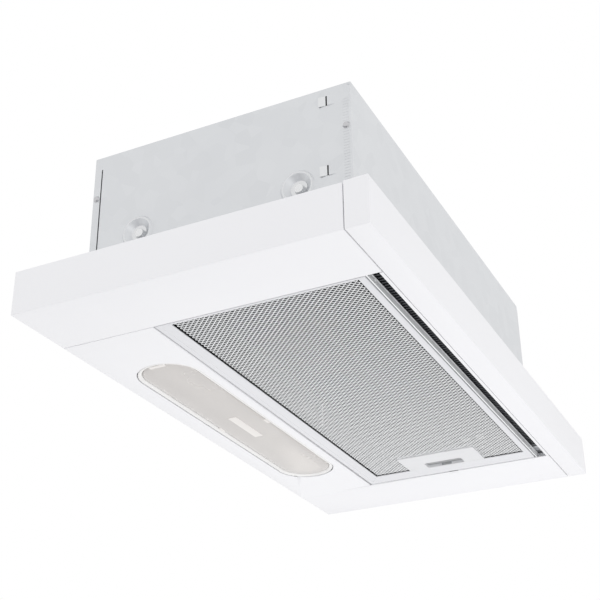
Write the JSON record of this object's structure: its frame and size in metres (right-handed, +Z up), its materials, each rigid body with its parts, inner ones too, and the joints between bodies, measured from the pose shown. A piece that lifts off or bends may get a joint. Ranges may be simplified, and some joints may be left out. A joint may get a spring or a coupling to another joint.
{
  "type": "under cabinet range hood",
  "caption": "Built-in telescopic range hood: galvanised carcass, white frame, pull-out front with intake screen, drop-down mesh filter, lamp and duct collar.",
  "frame": {"origin": "middle of the underside of the painted frame, halfway between its front and its back", "axes": "+X to the right seen from the front, +Y to the wall, +Z up"},
  "size_m": [0.598, 0.312, 0.219],
  "materials": {
    "white_paint": "smooth semi-gloss white powder coat",
    "galvanised": "galvanised sheet, fine spangle",
    "zinc_steel": "zinc plated steel",
    "cage": "stamped brass cage with steel balls",
    "frame_aluminium": "satin folded aluminium",
    "mesh_aluminium": "expanded aluminium mesh",
    "handle_plastic": "pale grey moulded plastic",
    "latch_plastic": "grey moulded plastic",
    "dark_plastic": "fine textured dark plastic",
    "grey_plastic": "moulded grey plastic",
    "white_plastic": "smooth white moulded plastic",
    "red_plastic": "red moulded plastic",
    "lens": "frosted translucent plastic",
    "reflector": "bright satin reflector",
    "lamp_glass": "frosted lamp glass",
    "motor_can": "dark painted steel can"
  },
  "bodies": {
    "carcass": {"left_side_panel": "galvanised", "right_side_panel": "galvanised", "front_panel": "galvanised", "rear_panel": "galvanised", "top_panel": "galvanised", "front_sill": "galvanised", "left_side_cover": "white_paint", "right_side_cover": "white_paint", "lamp_panel": "white_paint", "rivet_nuts": "galvanised", "left_fixed_rail": "zinc_steel", "right_fixed_rail": "zinc_steel", "reflector": "reflector", "left_lamp_holder": "white_plastic", "right_lamp_holder": "white_plastic", "left_lamp": "lamp_glass", "right_lamp": "lamp_glass", "left_blower_shell": "dark_plastic", "right_blower_shell": "dark_plastic", "motor": "motor_can", "motor_bracket": "zinc_steel", "outlet_collar": "dark_plastic", "flap_pin": "zinc_steel", "terminal_box": "white_plastic", "capacitor": "white_plastic", "cable_gland": "dark_plastic", "switch_bracket": "galvanised", "drawer_switch": "dark_plastic", "side_screws": "zinc_steel", "cover_screws": "zinc_steel", "outlet_screws": "zinc_steel", "motor_screws": "zinc_steel", "reflector_screws": "zinc_steel", "keeper_leaf": "zinc_steel"},
    "drawer": {"fascia": "white_paint", "fascia_back": "white_paint", "drawer_tray": "galvanised", "intake_screen": "dark_plastic", "left_runner": "zinc_steel", "right_runner": "zinc_steel", "tray_screws": "zinc_steel", "control_panel": "dark_plastic", "switch_housing": "dark_plastic"},
    "left_cage": {"left_ball_cage": "cage"},
    "right_cage": {"right_ball_cage": "cage"},
    "light_knob": {"light_slider": "white_plastic"},
    "speed_knob": {"speed_slider": "white_plastic"},
    "filter": {"filter_frame": "frame_aluminium", "filter_mesh": "mesh_aluminium", "filter_pins": "zinc_steel", "filter_handle": "handle_plastic", "latch_spring": "zinc_steel"},
    "latch": {"filter_latch": "latch_plastic"},
    "lens": {"lamp_lens": "lens"},
    "rotor": {"motor_shaft": "zinc_steel", "blower_wheel": "grey_plastic"},
    "front_damper": {"front_flap": "dark_plastic"},
    "rear_damper": {"rear_flap": "dark_plastic"},
    "plunger": {"switch_plunger": "red_plastic"}
  },
  "joints": [
    {"name": "drawer_slide", "type": "slide", "parent": "carcass", "child": "drawer", "axis": [0, -1, 0], "range_m": [0, 0.14]},
    {"name": "left_cage_roll", "type": "slide", "parent": "carcass", "child": "left_cage", "axis": [0, -1, 0], "range_m": [0, 0.07]},
    {"name": "right_cage_roll", "type": "slide", "parent": "carcass", "child": "right_cage", "axis": [0, -1, 0], "range_m": [0, 0.07]},
    {"name": "light_slider_slide", "type": "slide", "parent": "drawer", "child": "light_knob", "axis": [1, 0, 0], "range_m": [0, 0.008]},
    {"name": "speed_slider_slide", "type": "slide", "parent": "drawer", "child": "speed_knob", "axis": [1, 0, 0], "range_m": [0, 0.018]},
    {"name": "filter_hinge", "type": "hinge", "parent": "carcass", "child": "filter", "pos_m": [-0.2255, 0, 0.0026], "axis": [0, 1, 0], "range_deg": [0, 80], "deforming": ["keeper_leaf"]},
    {"name": "latch_slide", "type": "slide", "parent": "filter", "child": "latch", "axis": [-1, 0, 0], "range_m": [0, 0.005], "stiffness_N_per_m": 300, "springref_m": -0.006, "deforming": ["latch_spring"]},
    {"name": "lens_hinge", "type": "hinge", "parent": "carcass", "child": "lens", "pos_m": [0.157, 0.1072, 0.0018], "axis": [0, -1, 0], "range_deg": [0, 40]},
    {"name": "blower_spin", "type": "hinge", "parent": "carcass", "child": "rotor", "pos_m": [0, -0.014, 0.107], "axis": [1, 0, 0], "continuous": true},
    {"name": "front_flap_hinge", "type": "hinge", "parent": "carcass", "child": "front_damper", "pos_m": [0, 0.02785, 0.204], "axis": [-1, 0, 0], "range_deg": [0, 80]},
    {"name": "rear_flap_hinge", "type": "hinge", "parent": "carcass", "child": "rear_damper", "pos_m": [0, 0.02785, 0.204], "axis": [1, 0, 0], "range_deg": [0, 80]},
    {"name": "plunger_slide", "type": "slide", "parent": "carcass", "child": "plunger", "axis": [0, -1, 0], "range_m": [0, 0.002]}
  ],
  "couplings": [
    {"joint": "left_cage_roll", "follows": "drawer_slide", "ratio": 0.5},
    {"joint": "right_cage_roll", "follows": "drawer_slide", "ratio": 0.5},
    {"joint": "plunger_slide", "follows": "drawer_slide", "ratio": 0.014286}
  ]
}
